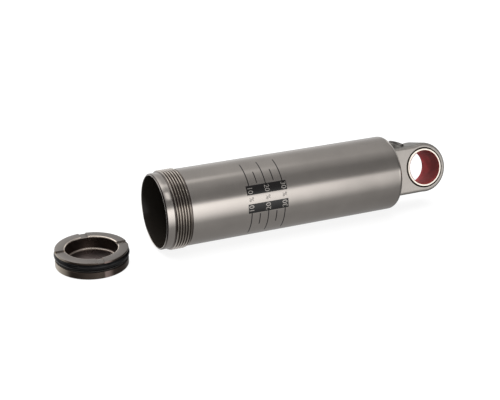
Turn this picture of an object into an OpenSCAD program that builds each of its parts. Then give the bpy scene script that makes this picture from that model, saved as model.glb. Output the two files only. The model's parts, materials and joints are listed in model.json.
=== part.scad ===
// Damper body of a bicycle rear shock, lying on a bench with its internal floating piston beside it.
// Millimetres. The origin is the centre of the eyelet bore, on the tube's axis.
// +X runs from the tube's open mouth to the eyelet, +Z is up and -Y is the front.

/* [Damper tube] */
// Outer diameter of the tube
tube_od = 27.8; // [27.6:0.1:28]
// Diameter of the honed bore that the piston runs in
tube_bore_d = 25.9; // [25.7:0.1:26.1]
// Length of the tube from its mouth to its closed end
tube_len = 94.1; // [80:0.1:130]
// Thickness of the wall that closes the eyelet end
end_wall = 9; // [9:0.5:12]
// Radius of the rounded shoulder at the eyelet end
shoulder_r = 1.9; // [1:0.1:2.5]

/* [Mouth thread] */
// Diameter over the thread's crests
thread_od = 28.7; // [28.5:0.1:29]
// Distance from one crest to the next
thread_pitch = 1; // [0.9:0.05:1.1]
// Number of crests
thread_crests = 6; // [4:1:9]
// Diameter of the plain pilot band in front of the thread
pilot_d = 27.3; // [27.1:0.1:27.4]
// Length of the pilot band
pilot_len = 3; // [2:0.1:4]

/* [Eyelet] */
// Distance from the centre of the eyelet bore to the end of the tube
eyelet_reach = 13.6; // [13.2:0.1:16]
// Outer diameter of the eyelet's round end
eye_od = 18.8; // [18.4:0.1:19.4]
// Width of the eyelet along its bore
eye_width = 12.2; // [12:0.1:12.7]
// Height of the neck's top flat above the axis
neck_top = 8.85; // [8.6:0.05:9.1]
// Depth of the neck below the axis
neck_bottom = 9.3; // [9:0.05:9.4]
// Radius of the eyelet's long edges
eye_edge_r = 1.1; // [0.8:0.1:1.2]
// Diameter of the threaded stud that screws into the tube
stud_d = 16; // [15.5:0.1:16.5]

/* [Bush] */
// Inside diameter of the bush, which takes half-inch mounting hardware
bush_id = 12.7; // [12.6:0.01:12.75]
// Outside diameter of the bush
bush_od = 15.08; // [15:0.01:15.1]
// Length of the bush
bush_len = 12.7; // [12.5:0.1:12.7]
// Thickness of the low-friction liner
liner_t = 0.25; // [0.2:0.05:0.35]

/* [Gas valve] */
// Lean of the valve port from the neck's normal towards the eyelet
port_tilt = 25.6; // [22:0.1:28]
// Outer diameter of the valve boss
boss_d = 6.5; // [6.4:0.1:6.8]
// Diameter of the valve cap's head
cap_head_d = 5.9; // [5.6:0.1:6.2]
// Thickness of the valve cap's head
cap_head_h = 0.95; // [0.5:0.05:1.1]
// Turns of the valve core's spring
spring_turns = 7; // [5:1:8]

/* [Floating piston] */
// Diameter of the floating piston
ifp_d = 25.58; // [25.5:0.02:25.6]
// Height of the floating piston
ifp_h = 6.25; // [6:0.05:6.6]
// Diameter of the recess in the piston's top
ifp_recess_d = 18.3; // [17.8:0.1:18.6]
// Depth of the recess
ifp_recess_depth = 4.85; // [4.5:0.05:5]
// Width of the four tool slots in the rim
ifp_slot_w = 2.5; // [2:0.1:3]
// Depth of the tool slots
ifp_slot_depth = 0.45; // [0.3:0.05:0.6]

/* [Layout] */
// Roll of the body about the tube's axis as it lies on the bench
body_roll = 18.2; // [0:0.1:30]
// Place of the floating piston along X
ifp_x = -131.8; // [-140:0.1:-128]
// Place of the floating piston along Y
ifp_y = -2.5; // [-10:0.1:10]
// Turn of the floating piston about its own axis
ifp_turn = -2; // [-45:1:45]

/* [Hidden] */

$fn = 96;
gap = 0.02;                              // radial play in the screwed joints
cut = 1;                                 // how far a cutter runs past a face

tube_r = tube_od / 2;
bore_r = tube_bore_d / 2;
end_x = -eyelet_reach;                   // outer face of the tube's closed end
mouth_x = end_x - tube_len;              // open end of the tube
chamber_x = end_x - end_wall;            // inner face of the closed end
bench_z = -thread_od / 2;                // the bench that the thread's crests rest on

crest_r = thread_od / 2;
root_r = crest_r - 0.6 * thread_pitch;
groove_half_top = 0.42 * thread_pitch;   // half width of a groove at the crests
groove_half_root = 0.08 * thread_pitch;  // half width of a groove at its root
pilot_r = pilot_d / 2;
thread_x = mouth_x + pilot_len;          // where the thread's lead-in starts
lead_in = 0.45;                          // length of the lead-in ramp
run_out = 0.85;                          // length of the run-out groove
run_out_fall = 0.25;                     // length of the slope down into it
run_out_rise = 0.2;                      // length of the slope up to the tube
mouth_bevel = 0.45;                      // bevel between the mouth's flat rim and the pilot band
bore_lead = 0.25;                        // length of the bore's lead-in
bore_lead_h = 0.1;                       // how much it widens the bore

stud_r = stud_d / 2;
stud_len = 5;                            // threaded length of the stud
nose_setback = 0.1;                      // how far the stud's nose stays back from the chamber
nose_r = stud_r - 0.75;                  // seal land in front of the stud's thread
seal_groove_x = chamber_x + 1.7;         // middle of the seal ring's groove
seal_groove_w = 1.6;
seal_groove_r = nose_r - 1.25;
seal_wire_r = (nose_r - seal_groove_r) / 2;
passage_r = 1.25;                        // gas way from the valve to the chamber

bush_r = bush_od / 2;
eye_bevel = 0.4;                         // bevel around the eyelet bore

// Valve port. Depths are measured along the port, down from the face of the boss.
port_x = -7.8;
port_z = 9.5;
boss_depth = 6;
face_clear = 5;                          // height cleared above the boss's face
face_margin = 0.15;                      // how far the clearing reaches past the boss
cap_bore_depth = 3.4;
cap_bore_r = 2.65;
core_bore_depth = 7.2;
core_bore_r = 2.6;
seat_depth = 8.2;
barrel_bore_r = 1.9;
port_depth = 15.9;

core_head_top = 3.4;
core_head_w = 2;                         // across the flats that the core key holds
core_thread_top = 4.6;
core_thread_end = 7.1;
core_thread_r = core_bore_r - 0.04;
core_hole_r = 0.95;
gasket_inset = 0.2;                      // how far the gasket stops above the seat's foot
gasket_squeeze = 0.05;                   // gasket's radius over the barrel bore
gasket_slack = 0.15;                     // gasket's radius under the core bore
barrel_r = 1.5;
barrel_end = 13;
barrel_floor = 0.8;                      // wall that the core's spring stands on
barrel_floor_hole_r = 0.6;
pin_r = 0.42;
pin_top = 2.9;
collar_r = 0.8;
collar_top = 7.5;
collar_h = 0.5;
cup_seal_h = 0.25;
cup_r = 1.4;
cup_end = 14.3;
spring_wire_r = 0.13;
spring_r = 0.68;
spring_sides = 6;
spring_steps = 14;                       // rings in one turn

cap_thread_r = cap_bore_r - 0.03;
cap_thread_top = 0.9;
cap_end = 2;
cap_neck_r = 1.95;
cap_wire_r = 0.33;
cap_socket_d = 2.5;
cap_socket_depth = 1.2;

ifp_r = ifp_d / 2;
ifp_bevel = 0.2;
ring_groove_low = 2.5;                   // lower edge of the ring groove above the base
ring_groove_w = 2.9;
ring_groove_r = 10.85;
ring_wire_r = 1.13;                      // half the o-ring's thickness
backup_t = 0.6;                          // thickness of the backup ring
backup_r = ifp_r - 0.1;

// Places the body's own axes: its eyelet bore along Y and its neck's top flat up.
module on_body() {
    rotate([-body_roll, 0, 0]) children();
}

// Turns a shape made about +Z so that it lies about the tube's axis.
module along_tube() {
    rotate([0, 90, 0]) children();
}

// Turns a shape made about +Z so that it lies about the eyelet bore.
module along_bore() {
    rotate([90, 0, 0]) children();
}

// Places a shape on the valve boss, with +Z out of the port.
module at_port() {
    on_body() translate([port_x, 0, port_z]) rotate([0, port_tilt, 0]) children();
}

module at_ifp() {
    translate([ifp_x, ifp_y, bench_z]) children();
}

// A solid of revolution between two depths below the boss's face.
module port_cylinder(top, bottom, r) {
    translate([0, 0, -bottom]) cylinder(h = bottom - top, r = r);
}

module ring(inner_r, outer_r, h) {
    difference() {
        cylinder(h = h, r = outer_r);
        translate([0, 0, -cut]) cylinder(h = h + 2 * cut, r = inner_r);
    }
}

module round_ring(centre_r, wire_r) {
    rotate_extrude() translate([centre_r, 0]) circle(r = wire_r, $fn = 32);
}

// A rectangle from one corner to the other with its corners rounded.
module rounded_rect(low, high, r) {
    size = high - low;
    translate([low[0] + r, low[1]]) square([size[0] - 2 * r, size[1]]);
    translate([low[0], low[1] + r]) square([size[0], size[1] - 2 * r]);
    for (x = [low[0] + r, high[0] - r], y = [low[1] + r, high[1] - r])
        translate([x, y]) circle(r = r, $fn = 48);
}

// Outline of the thread and its run-out, as [radius, place along X].
function groove(centre) = [
    [crest_r, centre - groove_half_top], [root_r, centre - groove_half_root],
    [root_r, centre + groove_half_root], [crest_r, centre + groove_half_top]
];
first_groove = thread_x + lead_in + 0.85 * thread_pitch;
last_crest = first_groove + (thread_crests - 1) * thread_pitch - 0.5 * thread_pitch;
thread_outline = concat(
    [[pilot_r, thread_x], [crest_r, thread_x + lead_in]],
    [for (i = [0:thread_crests - 2]) each groove(first_groove + i * thread_pitch)],
    [[crest_r, last_crest], [root_r, last_crest + run_out_fall],
     [root_r, last_crest + run_out - run_out_rise], [tube_r, last_crest + run_out]]
);

module damper_tube() {
    outline = concat(
        [[bore_r, mouth_x + bore_lead], [bore_r + bore_lead_h, mouth_x],
         [pilot_r - mouth_bevel, mouth_x], [pilot_r, mouth_x + mouth_bevel]],
        thread_outline,
        [[tube_r, end_x - shoulder_r], [tube_r - shoulder_r, end_x - shoulder_r],
         [tube_r - shoulder_r, end_x], [stud_r + gap, end_x], [stud_r + gap, end_x - stud_len],
         [nose_r + gap, end_x - stud_len], [nose_r + gap, chamber_x], [bore_r, chamber_x]]
    );
    color("dimgray") along_tube() {
        rotate_extrude() {
            polygon(outline);
            translate([tube_r - shoulder_r, end_x - shoulder_r]) circle(r = shoulder_r, $fn = 48);
        }
    }
}

module neck() {
    translate([end_x, 0, 0]) rotate([90, 0, 90]) linear_extrude(height = eyelet_reach)
        rounded_rect([-eye_width / 2, -neck_bottom], [eye_width / 2, neck_top], eye_edge_r);
}

module eye() {
    inner_r = bush_r - cut;
    along_bore() rotate_extrude() difference() {
        rounded_rect([inner_r - 2 * eye_edge_r, -eye_width / 2], [eye_od / 2, eye_width / 2],
                     eye_edge_r);
        translate([0, -eye_width]) square([inner_r, 2 * eye_width]);
    }
}

module stud() {
    translate([end_x - stud_len, 0, 0]) along_tube() cylinder(h = stud_len + cut, r = stud_r);
    translate([chamber_x + nose_setback, 0, 0]) along_tube()
        cylinder(h = end_wall - stud_len, r = nose_r);
}

module eye_bore() {
    along_bore() translate([0, 0, -eye_width]) cylinder(h = 2 * eye_width, r = bush_r);
    for (side = [0, 180]) rotate([side, 0, 0]) along_bore()
        translate([0, 0, eye_width / 2 - eye_bevel])
            cylinder(h = 2 * eye_bevel, r1 = bush_r, r2 = bush_r + 2 * eye_bevel);
}

module port_bore() {
    port_cylinder(-cut, cap_bore_depth, cap_bore_r);
    port_cylinder(cap_bore_depth - cut, core_bore_depth, core_bore_r);
    translate([0, 0, -seat_depth])
        cylinder(h = seat_depth - core_bore_depth, r1 = barrel_bore_r, r2 = core_bore_r);
    port_cylinder(seat_depth - 0.1, port_depth, barrel_bore_r);
}

module eyelet() {
    passage_end = port_x - port_z * tan(port_tilt);
    color("silver") difference() {
        union() {
            on_body() {
                neck();
                eye();
                stud();
            }
            at_port() port_cylinder(0, boss_depth, boss_d / 2);
        }
        on_body() {
            eye_bore();
            translate([seal_groove_x - seal_groove_w / 2, 0, 0]) along_tube()
                ring(seal_groove_r, nose_r + cut, seal_groove_w);
            translate([chamber_x - cut, 0, 0]) along_tube()
                cylinder(h = passage_end - chamber_x + cut, r = passage_r);
        }
        at_port() {
            cylinder(h = face_clear, r = boss_d / 2 + face_margin);
            port_bore();
        }
    }
}

module eyelet_seal_ring() {
    color("black") on_body() translate([seal_groove_x, 0, 0]) along_tube()
        round_ring(seal_groove_r + seal_wire_r, seal_wire_r);
}

module bush_shell() {
    color("gainsboro") on_body() along_bore() translate([0, 0, -bush_len / 2])
        ring(bush_id / 2 + liner_t, bush_r, bush_len);
}

module bush_liner() {
    color("firebrick") on_body() along_bore() translate([0, 0, -bush_len / 2])
        ring(bush_id / 2, bush_id / 2 + liner_t, bush_len);
}

module valve_core_nut() {
    color("goldenrod") at_port() difference() {
        union() {
            port_cylinder(core_thread_top, core_thread_end, core_thread_r);
            intersection() {
                port_cylinder(core_head_top, core_thread_top, core_thread_r - 0.3);
                translate([-core_bore_r, -core_head_w / 2, -core_thread_top])
                    cube([2 * core_bore_r, core_head_w, core_thread_top - core_head_top]);
            }
        }
        port_cylinder(0, core_thread_end + cut, core_hole_r);
    }
}

module valve_core_barrel() {
    color("goldenrod") at_port() difference() {
        port_cylinder(core_thread_end, barrel_end, barrel_r);
        port_cylinder(core_thread_end - cut, barrel_end - barrel_floor, core_hole_r);
        port_cylinder(core_thread_end, barrel_end + cut, barrel_floor_hole_r);
    }
}

module valve_core_gasket() {
    color("crimson") at_port() translate([0, 0, gasket_inset - seat_depth]) difference() {
        cylinder(h = seat_depth - core_bore_depth - gasket_inset,
                 r1 = barrel_bore_r + gasket_squeeze, r2 = core_bore_r - gasket_slack);
        translate([0, 0, -cut]) cylinder(h = 3 * cut, r = barrel_r + gap);
    }
}

// One round wire swept along a helix about +Z, from z = 0 up, with closed ends.
module coil(r, wire_r, turns, height) {
    count = turns * spring_steps;
    points = [
        for (i = [0:count], k = [0:spring_sides - 1])
            let (a = 360 * i / spring_steps, b = 360 * k / spring_sides, rr = r + wire_r * cos(b))
            [rr * cos(a), rr * sin(a), height * i / count + wire_r * sin(b)]
    ];
    walls = [
        for (i = [0:count - 1], k = [0:spring_sides - 1])
            let (low = i * spring_sides, next = (k + 1) % spring_sides)
            [low + k, low + spring_sides + k, low + spring_sides + next, low + next]
    ];
    start = [for (k = [0:spring_sides - 1]) k];
    end = [for (k = [spring_sides - 1:-1:0]) count * spring_sides + k];
    polyhedron(points, concat(walls, [start], [end]), convexity = 10);
}

module valve_core_spring() {
    low = barrel_end - barrel_floor - spring_wire_r - gap;
    high = collar_top + collar_h + spring_wire_r + gap;
    color("lightgray") at_port() translate([0, 0, -low])
        coil(spring_r, spring_wire_r, spring_turns, low - high);
}

module valve_core_pin() {
    color("khaki") at_port() {
        port_cylinder(pin_top, cup_end, pin_r);
        port_cylinder(collar_top, collar_top + collar_h, collar_r);
    }
}

module valve_core_cup() {
    color("goldenrod") at_port() translate([0, 0, -cup_end])
        ring(pin_r, cup_r, cup_end - barrel_end - cup_seal_h);
}

module valve_core_cup_seal() {
    color("black") at_port() translate([0, 0, -barrel_end - cup_seal_h])
        ring(pin_r, cup_r - 0.1, cup_seal_h);
}

module valve_cap() {
    color("darkslategray") at_port() difference() {
        union() {
            cylinder(h = cap_head_h, r = cap_head_d / 2);
            port_cylinder(0, cap_thread_top, cap_neck_r);
            port_cylinder(cap_thread_top, cap_end, cap_thread_r);
        }
        translate([0, 0, cap_head_h - cap_socket_depth])
            cylinder(h = cap_socket_depth + cut, d = cap_socket_d / cos(30), $fn = 6);
    }
}

module valve_cap_o_ring() {
    color("black") at_port() translate([0, 0, -cap_thread_top / 2])
        round_ring(cap_neck_r + cap_wire_r, cap_wire_r);
}

module ifp_piston() {
    groove_top = ring_groove_low + ring_groove_w;
    outline = [
        [0, 0], [ifp_r - ifp_bevel, 0], [ifp_r, ifp_bevel], [ifp_r, ring_groove_low],
        [ring_groove_r, ring_groove_low], [ring_groove_r, groove_top], [ifp_r, groove_top],
        [ifp_r, ifp_h - ifp_bevel], [ifp_r - ifp_bevel, ifp_h], [ifp_recess_d / 2, ifp_h],
        [ifp_recess_d / 2, ifp_h - ifp_recess_depth], [0, ifp_h - ifp_recess_depth]
    ];
    color("gray") at_ifp() difference() {
        rotate_extrude() polygon(outline);
        for (a = [0:90:270]) rotate([0, 0, a + ifp_turn])
            translate([ifp_recess_d / 2 - cut, -ifp_slot_w / 2, ifp_h - ifp_slot_depth])
                cube([ifp_r, ifp_slot_w, ifp_slot_depth + cut]);
    }
}

module ifp_o_ring() {
    height = ring_groove_low + ring_groove_w - ring_wire_r;
    color("black") at_ifp() translate([0, 0, height])
        round_ring(ring_groove_r + ring_wire_r, ring_wire_r);
}

module ifp_backup_ring() {
    color("darkslategray") at_ifp() translate([0, 0, ring_groove_low])
        ring(ring_groove_r, backup_r, backup_t);
}

damper_tube();
eyelet();
eyelet_seal_ring();
bush_shell();
bush_liner();
valve_core_nut();
valve_core_barrel();
valve_core_gasket();
valve_core_spring();
valve_core_pin();
valve_core_cup();
valve_core_cup_seal();
valve_cap();
valve_cap_o_ring();
ifp_piston();
ifp_o_ring();
ifp_backup_ring();
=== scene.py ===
"""The damper body of a bicycle rear shock and its floating piston, lying on a pale bench."""

import json
import math

import bpy
from mathutils import Matrix, Vector


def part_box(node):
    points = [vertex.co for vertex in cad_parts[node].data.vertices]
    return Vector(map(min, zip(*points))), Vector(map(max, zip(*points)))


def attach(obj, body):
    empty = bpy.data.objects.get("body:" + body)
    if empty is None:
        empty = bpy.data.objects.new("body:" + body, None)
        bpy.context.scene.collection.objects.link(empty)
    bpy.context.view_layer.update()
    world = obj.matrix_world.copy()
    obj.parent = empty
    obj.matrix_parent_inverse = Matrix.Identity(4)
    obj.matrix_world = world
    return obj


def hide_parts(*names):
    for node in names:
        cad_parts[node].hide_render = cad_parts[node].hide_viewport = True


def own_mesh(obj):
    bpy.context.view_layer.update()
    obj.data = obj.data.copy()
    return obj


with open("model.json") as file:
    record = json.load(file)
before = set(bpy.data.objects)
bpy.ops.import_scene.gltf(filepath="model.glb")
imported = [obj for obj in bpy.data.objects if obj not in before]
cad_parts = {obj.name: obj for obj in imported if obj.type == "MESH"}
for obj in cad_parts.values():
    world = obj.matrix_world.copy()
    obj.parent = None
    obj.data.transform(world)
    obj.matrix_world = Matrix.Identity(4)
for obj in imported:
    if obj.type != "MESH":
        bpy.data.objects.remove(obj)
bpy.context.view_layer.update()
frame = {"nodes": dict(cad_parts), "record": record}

MM = 0.001

# ---------------------------------------------------------------- sizes from the frame, in mm

mounts = {mount["name"]: mount for mount in frame["record"]["mounts"]}


def box_mm(node):
    low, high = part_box(node)
    return low / MM, high / MM


tube_low, tube_high = box_mm("damper_tube")
MOUTH_X = tube_low.x
END_X = tube_high.x
CREST_R = tube_high.z
BENCH_Z = -CREST_R
BORE_R = mounts["tube_bore"]["dims"]["r_mm"]
PILOT_R = mounts["mouth_pilot"]["dims"]["r_mm"]
BORE_LEAD_IN = 0.25
CHAMBER_X = MOUTH_X + BORE_LEAD_IN + mounts["tube_bore"]["dims"]["length_mm"]

bore_axis = Vector(mounts["eyelet_bore"]["axis"])
BODY_ROLL = math.atan2(bore_axis.z, -bore_axis.y)
BUSH_BORE_R = mounts["eyelet_bore"]["dims"]["r_mm"]
BUSH_LENGTH = mounts["eyelet_bore"]["dims"]["length_mm"]
BUSH_R = box_mm("bush_shell")[1].x
LINER_R = box_mm("bush_liner")[1].x
EYE_R = box_mm("eyelet")[1].x

ifp_low, ifp_high = box_mm("ifp_piston")
IFP_CENTRE = (ifp_low + ifp_high) / 2
IFP_R = (ifp_high.x - ifp_low.x) / 2
IFP_H = ifp_high.z - ifp_low.z

# ---------------------------------------------------------------- sizes of the finer shapes, in mm

TUBE_R = 13.9
SHOULDER_R = 1.9
STUD_R = 8.0
STUD_LENGTH = 5.0
NOSE_R = 7.25
FIT_GAP = 0.02
MOUTH_BEVEL = 0.45
PILOT_LENGTH = 3.0
THREAD_PITCH = 1.0
THREAD_DEPTH = 0.6
THREAD_LEAD_IN = 0.45
THREAD_GROOVES = 5
RUN_OUT = 0.85
THREAD_X = MOUTH_X + PILOT_LENGTH
FIRST_GROOVE_X = THREAD_X + THREAD_LEAD_IN + 0.85 * THREAD_PITCH
RUN_OUT_X = FIRST_GROOVE_X + (THREAD_GROOVES - 0.5) * THREAD_PITCH
THREAD_END_X = RUN_OUT_X + RUN_OUT
GROOVE_SEEN_AT = math.radians(160)       # turn at which the grooves pass FIRST_GROOVE_X

EYE_WIDTH = 12.2
NECK_TOP = 8.85
NECK_BOTTOM = 9.3
EYE_EDGE_R = 1.3
EYE_GAP = 0.12                           # open groove around the bush, at the eyelet's faces
EYE_GAP_DEPTH = 1.3
BUSH_FACE_R = 7.15                       # outer radius of the bush's flat face
PORT_PLACE = Vector((-7.8, 0, 9.5))      # face of the valve boss, in the body's own axes
PORT_TILT = math.radians(25.6)
BOSS_R = 3.25
PORT_FACE_R = BOSS_R + 0.15              # the boss's face is cut flat out to here
PORT_DEPTH = 15.9
PORT_WELL_R = 1.9
PORT_TAPER = (8.2, 7.2)                  # foot and top of the gasket's seat, down the port
CORE_BORE_R = 2.6
CAP_BORE_DEPTH = 3.4
CAP_BORE_R = 2.65
PASSAGE_R = 1.25
PASSAGE_END_X = -12.35
CAP_HEAD_R = 2.95
CAP_HEAD_H = 0.95
CAP_SOCKET_DEPTH = 1.2
CAP_SOCKET_HALF = 1.25                   # half the width across the socket's flats
SPRING_TOP = 8.02                        # ends of the valve core's spring, down the port
SPRING_FOOT = 12.18
SPRING_R = 0.68
SPRING_WIRE_R = 0.13
SPRING_TURNS = 7

IFP_RECESS_R = 9.15
IFP_RECESS_DEPTH = 4.85
IFP_RIM_R = 0.4                          # rounding of the recess's upper edge
IFP_SLOT_W = 2.5
IFP_SLOT_DEPTH = 0.45
IFP_SLOT_MIDDLE_R = 11.5
IFP_SLOT_LENGTH = 6                      # long enough to run out of the rim on both sides
IFP_TURN = math.radians(-2)
RING_GROOVE_LOW = 2.5
RING_GROOVE_W = 2.9
RING_GROOVE_R = 10.85
RING_WIRE_R = 1.13
BACKUP_T = 0.6
HIGHLIGHT_FROM = 0.2                           # painted highlight on the lower land, along X from the middle
HIGHLIGHT_TO = 4.4

SCALE_ANGLE = math.radians(18.15)        # middle of the sag scale, up from the front
SCALE_ZERO_X = -82.28                    # where the scale's 0 % would stand
SCALE_STEP = 6.49                        # travel along X for 10 %
BAR_LENGTH = 15.6
BAR_HEIGHT = 3.4
BAR_GAP = 3.25
LONG_TICK = 10.0
SHORT_TICK = 4.7
SHORT_TICK_GAP = 0.55
TICK_WIDTH = 0.36
NUMERAL_HEIGHT = 1.9
PRINT_LIFT = 0.012
PRINT_THICKNESS = 0.02

# ---------------------------------------------------------------- camera

CAMERA_PLACE = Vector((-242.2, -378.1, 175.2)) * MM
CAMERA_YAW = math.radians(-24.44)
CAMERA_PITCH = math.radians(-23.09)
CAMERA_ROLL = math.radians(0.25)
CAMERA_LENS = 89.0

camera = bpy.data.objects.new("camera", bpy.data.cameras.new("camera"))
bpy.context.scene.collection.objects.link(camera)
camera.data.lens = CAMERA_LENS
camera.data.sensor_width = 36
camera.data.clip_start = 0.01
camera.matrix_world = (
    Matrix.Translation(CAMERA_PLACE)
    @ Matrix.Rotation(CAMERA_YAW, 4, "Z")
    @ Matrix.Rotation(math.pi / 2 + CAMERA_PITCH, 4, "X")
    @ Matrix.Rotation(CAMERA_ROLL, 4, "Z")
)
bpy.context.scene.camera = camera
bpy.context.scene.view_settings.view_transform = "Standard"


# ---------------------------------------------------------------- modelling helpers


def select_only(obj):
    bpy.ops.object.select_all(action="DESELECT")
    obj.select_set(True)
    bpy.context.view_layer.objects.active = obj


def apply_modifier(obj, kind, **settings):
    select_only(obj)
    modifier = obj.modifiers.new(kind.lower(), kind)
    for key, value in settings.items():
        setattr(modifier, key, value)
    bpy.ops.object.modifier_apply(modifier=modifier.name)


def combine(obj, tool, operation):
    """Joins or cuts obj with the tool shape, and removes the tool."""
    apply_modifier(obj, "BOOLEAN", object=tool, operation=operation, solver="EXACT")
    bpy.data.objects.remove(tool)


def smooth(obj, degrees=32):
    select_only(obj)
    bpy.ops.object.shade_smooth_by_angle(angle=math.radians(degrees))


def arc(centre_x, centre_r, radius, start, end, steps):
    """Points of an arc in an outline. Angles are in degrees, from +X towards a growing radius."""
    angles = [math.radians(start + (end - start) * i / steps) for i in range(steps + 1)]
    return [(centre_x + radius * math.cos(a), centre_r + radius * math.sin(a)) for a in angles]


def loop_of(name, points):
    """A closed loop of edges through the points, given in mm."""
    bpy.ops.object.select_all(action="DESELECT")
    bpy.ops.mesh.primitive_circle_add(vertices=len(points), radius=MM)
    obj = bpy.context.object
    obj.name = name
    obj.data.name = name
    for vertex, point in zip(obj.data.vertices, points):
        vertex.co = Vector(point) * MM
    return obj


def select_edges(obj, wanted):
    """Enters edit mode with just the edges selected whose two end points pass the test."""
    bpy.ops.object.mode_set(mode="EDIT")
    bpy.ops.mesh.select_mode(type="EDGE")
    bpy.ops.mesh.select_all(action="DESELECT")
    bpy.ops.object.mode_set(mode="OBJECT")
    for edge in obj.data.edges:
        edge.select = wanted(*[obj.data.vertices[v].co for v in edge.vertices])
    bpy.ops.object.mode_set(mode="EDIT")


def turned(name, outline, steps):
    """A body turned about the X axis from an outline of (place along X, radius) points.

    An outline that starts and ends on the axis makes a solid; any other makes a ring."""
    obj = loop_of(name, [(x, 0, r) for x, r in outline])
    select_edges(obj, lambda a, b: a.z == 0 and b.z == 0)
    bpy.ops.mesh.delete(type="EDGE")
    bpy.ops.mesh.select_mode(type="VERT")
    bpy.ops.mesh.select_all(action="SELECT")
    bpy.ops.mesh.spin(steps=steps, angle=math.tau, center=(0, 0, 0), axis=(1, 0, 0))
    bpy.ops.mesh.select_all(action="SELECT")
    bpy.ops.mesh.remove_doubles(threshold=1e-7)
    bpy.ops.mesh.normals_make_consistent(inside=False)
    bpy.ops.object.mode_set(mode="OBJECT")
    return obj


def place(obj, matrix):
    """Moves the shape itself, and leaves its object at the origin."""
    obj.data.transform(matrix)
    obj.data.update()


def on_body():
    return Matrix.Rotation(-BODY_ROLL, 4, "X")


def about_bore():
    """From a shape turned about X to one about the eyelet bore."""
    return on_body() @ Matrix.Rotation(math.pi / 2, 4, "Z")


def about_z():
    """From a shape turned about X to one about Z, with its +X up."""
    return Matrix.Rotation(-math.pi / 2, 4, "Y")


def in_port():
    """From a shape turned about X to one in the valve port, with its +X out of the port."""
    return (
        on_body()
        @ Matrix.Translation(PORT_PLACE * MM)
        @ Matrix.Rotation(PORT_TILT, 4, "Y")
        @ about_z()
    )


def at_ifp():
    """From a shape turned about X, with X = 0 at its base, to the floating piston's place."""
    base = Vector((IFP_CENTRE.x, IFP_CENTRE.y, BENCH_Z)) * MM
    return Matrix.Translation(base) @ Matrix.Rotation(IFP_TURN, 4, "Z") @ about_z()


def dress(obj, material, body, slot, *replaced):
    """Gives a finished piece its material and says what it moves with and stands for."""
    obj.data.materials.clear()
    obj.data.materials.append(material)
    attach(obj, body)
    if replaced:
        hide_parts(*replaced)


# ---------------------------------------------------------------- colours

TUBE_GREY = (0.44, 0.405, 0.375)
THREAD_ROOT_SHADE = (0.15, 0.13, 0.115)
THREAD_CREST_HIGHLIGHT = (0.54, 0.48, 0.42)
BORE_SHADE = (0.020, 0.017, 0.014)
MOUTH_BEVEL_SHADE = (0.13, 0.115, 0.105)
EYELET_GREY = (0.43, 0.40, 0.37)
BARREL_SHADE = (0.26, 0.25, 0.233)
EYELET_GAP_SHADE = (0.06, 0.056, 0.045)
NECK_ROOT_SHADE = (0.22, 0.205, 0.19)
BUSH_STEEL_WARM = (0.88, 0.81, 0.72)
BUSH_EDGE_SHADE = (0.12, 0.11, 0.09)
LINER_NEAR = (0.20, 0.024, 0.022)
LINER_DEEP = (0.48, 0.055, 0.06)
PISTON_GREY = (0.235, 0.213, 0.196)
LAND_BROWN = (0.115, 0.09, 0.075)
LAND_HIGHLIGHT = (0.34, 0.26, 0.235)
LAND_LEFT_LIGHT = (0.50, 0.44, 0.36)
RECESS_SIDE_SHADE = (0.12, 0.095, 0.085)
RECESS_BASE_SHADE = (0.23, 0.19, 0.18)
FILLET_HIGHLIGHT = (0.62, 0.54, 0.48)
RIM_HIGHLIGHT = (0.75, 0.66, 0.58)
RUBBER_BLACK = (0.004, 0.004, 0.0045)
BACKUP_BROWN = (0.018, 0.015, 0.013)
GASKET_RED = (0.5, 0.05, 0.04)
INK_BLACK = (0.004, 0.003, 0.003)
INK_SILVER = (0.47, 0.44, 0.41)
BRASS_YELLOW = (0.72, 0.55, 0.28)
WIRE_GREY = (0.66, 0.66, 0.67)
CAP_GREY = (0.20, 0.19, 0.183)

# ---------------------------------------------------------------- materials


def new_material(name):
    material = bpy.data.materials.new(name)
    material.use_nodes = True
    return material, material.node_tree, material.node_tree.nodes["Principled BSDF"]


def node(tree, kind, inputs=None, **settings):
    made = tree.nodes.new(kind)
    for key, value in settings.items():
        setattr(made, key, value)
    for key, value in (inputs or {}).items():
        if isinstance(value, bpy.types.NodeSocket):
            tree.links.new(value, made.inputs[key])
        else:
            made.inputs[key].default_value = value
    return made


def object_axes(tree):
    """Sockets of the object's own X, Y and Z, and of all three together."""
    place_node = node(tree, "ShaderNodeTexCoord")
    axes = node(tree, "ShaderNodeSeparateXYZ", {0: place_node.outputs["Object"]})
    return axes.outputs, place_node.outputs["Object"]


def noise(tree, place_socket, scale, detail=3.0, stretch=None):
    """Grey noise. scale is in features per metre; stretch squeezes the three axes."""
    if stretch:
        place_socket = node(
            tree, "ShaderNodeMapping", {"Vector": place_socket, "Scale": stretch}
        ).outputs[0]
    return node(
        tree,
        "ShaderNodeTexNoise",
        {"Vector": place_socket, "Scale": scale, "Detail": detail},
    ).outputs[0]


def lines(tree, axis_socket, scale):
    """Grey lines across one axis, as a lathe tool leaves them."""
    return node(
        tree,
        "ShaderNodeTexNoise",
        {"W": axis_socket, "Scale": scale, "Detail": 4.0, "Roughness": 0.7},
        noise_dimensions="1D",
    ).outputs[0]


def between(tree, factor, low, high):
    """Maps grey noise onto a range of plain numbers."""
    return node(
        tree,
        "ShaderNodeMapRange",
        {"Value": factor, "From Min": 0.25, "From Max": 0.75, "To Min": low, "To Max": high},
    ).outputs[0]


def tinted(tree, factor, colour, spread):
    """A colour that varies by the spread with grey noise."""
    ramp = node(tree, "ShaderNodeValToRGB", {"Fac": factor})
    ramp.color_ramp.elements[0].position = 0.3
    ramp.color_ramp.elements[1].position = 0.7
    ramp.color_ramp.elements[0].color = (*[c * (1 - spread) for c in colour], 1)
    ramp.color_ramp.elements[1].color = (*[c * (1 + spread) for c in colour], 1)
    return ramp.outputs["Color"]


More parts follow.
